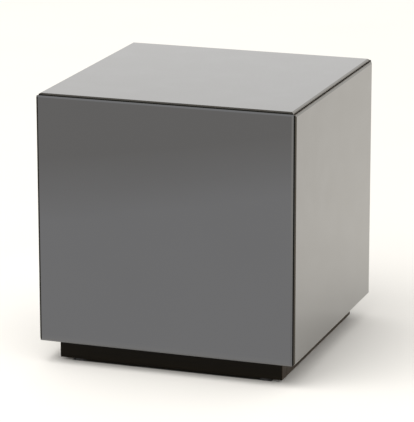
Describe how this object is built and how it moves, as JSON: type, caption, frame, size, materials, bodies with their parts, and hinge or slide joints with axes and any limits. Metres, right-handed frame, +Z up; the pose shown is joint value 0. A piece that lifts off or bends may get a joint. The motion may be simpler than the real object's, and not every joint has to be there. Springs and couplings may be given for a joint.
{
  "type": "mirrored cube side table",
  "caption": "Cube side table covered in smoked mirror panes on a board carcass, standing on a recessed dark plinth with screw-adjusted feet.",
  "frame": {"origin": "on the floor under the middle of the cube", "axes": "+Z up, front towards -Y, +X to the right seen from the front"},
  "size_m": [0.4, 0.4, 0.413],
  "materials": {
    "smoked_mirror": "smoked mirror with a narrow bevel and ground edges",
    "foam_tape": "double-sided foam tape",
    "board": "black-dyed medium-density board",
    "base_paint": "board painted black-brown",
    "softwood": "planed pine",
    "beech": "fluted beech dowel",
    "zinc": "zinc-plated",
    "plinth_lacquer": "black-brown satin lacquer",
    "brass_insert": "turned",
    "zinc_stem": "zinc-plated thread",
    "foot_nylon": "moulded nylon"
  },
  "bodies": {
    "table": {"mirror_top": "smoked_mirror", "mirror_front": "smoked_mirror", "mirror_right": "smoked_mirror", "mirror_back": "smoked_mirror", "mirror_left": "smoked_mirror", "mirror_tape_top": "foam_tape", "mirror_tape_front": "foam_tape", "mirror_tape_right": "foam_tape", "mirror_tape_back": "foam_tape", "mirror_tape_left": "foam_tape", "carcass_front": "board", "carcass_right": "board", "carcass_back": "board", "carcass_left": "board", "carcass_lid": "board", "carcass_base": "base_paint", "batten_front_left": "softwood", "batten_front_right": "softwood", "batten_back_left": "softwood", "batten_back_right": "softwood", "carcass_dowels": "beech", "plinth_dowels": "beech", "lid_screws": "zinc", "base_screws": "zinc", "block_screws": "zinc", "plinth_to_carcass_screws": "zinc", "plinth_front": "plinth_lacquer", "plinth_right": "plinth_lacquer", "plinth_back": "plinth_lacquer", "plinth_left": "plinth_lacquer", "plinth_block_front_left": "softwood", "plinth_block_front_right": "softwood", "plinth_block_back_left": "softwood", "plinth_block_back_right": "softwood", "foot_insert_front_left": "brass_insert", "foot_insert_front_right": "brass_insert", "foot_insert_back_left": "brass_insert", "foot_insert_back_right": "brass_insert"},
    "pad_front_left": {"foot_pad_front_left": "foot_nylon"},
    "stem_front_left": {"foot_stem_front_left": "zinc_stem"},
    "pad_front_right": {"foot_pad_front_right": "foot_nylon"},
    "stem_front_right": {"foot_stem_front_right": "zinc_stem"},
    "pad_back_left": {"foot_pad_back_left": "foot_nylon"},
    "stem_back_left": {"foot_stem_back_left": "zinc_stem"},
    "pad_back_right": {"foot_pad_back_right": "foot_nylon"},
    "stem_back_right": {"foot_stem_back_right": "zinc_stem"}
  },
  "joints": [
    {"name": "foot_front_left_height", "type": "slide", "parent": "table", "child": "pad_front_left", "axis": [0, 0, -1], "range_m": [0, 0.008]},
    {"name": "foot_front_left_screw", "type": "hinge", "parent": "pad_front_left", "child": "stem_front_left", "pos_m": [-0.146, -0.164, 0], "axis": [0, 0, -1], "range_deg": [0, 2881]},
    {"name": "foot_front_right_height", "type": "slide", "parent": "table", "child": "pad_front_right", "axis": [0, 0, -1], "range_m": [0, 0.008]},
    {"name": "foot_front_right_screw", "type": "hinge", "parent": "pad_front_right", "child": "stem_front_right", "pos_m": [0.146, -0.164, 0], "axis": [0, 0, -1], "range_deg": [0, 2881]},
    {"name": "foot_back_left_height", "type": "slide", "parent": "table", "child": "pad_back_left", "axis": [0, 0, -1], "range_m": [0, 0.008]},
    {"name": "foot_back_left_screw", "type": "hinge", "parent": "pad_back_left", "child": "stem_back_left", "pos_m": [-0.146, 0.164, 0], "axis": [0, 0, -1], "range_deg": [0, 2881]},
    {"name": "foot_back_right_height", "type": "slide", "parent": "table", "child": "pad_back_right", "axis": [0, 0, -1], "range_m": [0, 0.008]},
    {"name": "foot_back_right_screw", "type": "hinge", "parent": "pad_back_right", "child": "stem_back_right", "pos_m": [0.146, 0.164, 0], "axis": [0, 0, -1], "range_deg": [0, 2881]}
  ],
  "couplings": [
    {"joint": "foot_front_left_screw", "follows": "foot_front_left_height", "rad_per_m": 6283.2},
    {"joint": "foot_front_right_screw", "follows": "foot_front_right_height", "rad_per_m": 6283.2},
    {"joint": "foot_back_left_screw", "follows": "foot_back_left_height", "rad_per_m": 6283.2},
    {"joint": "foot_back_right_screw", "follows": "foot_back_right_height", "rad_per_m": 6283.2}
  ]
}
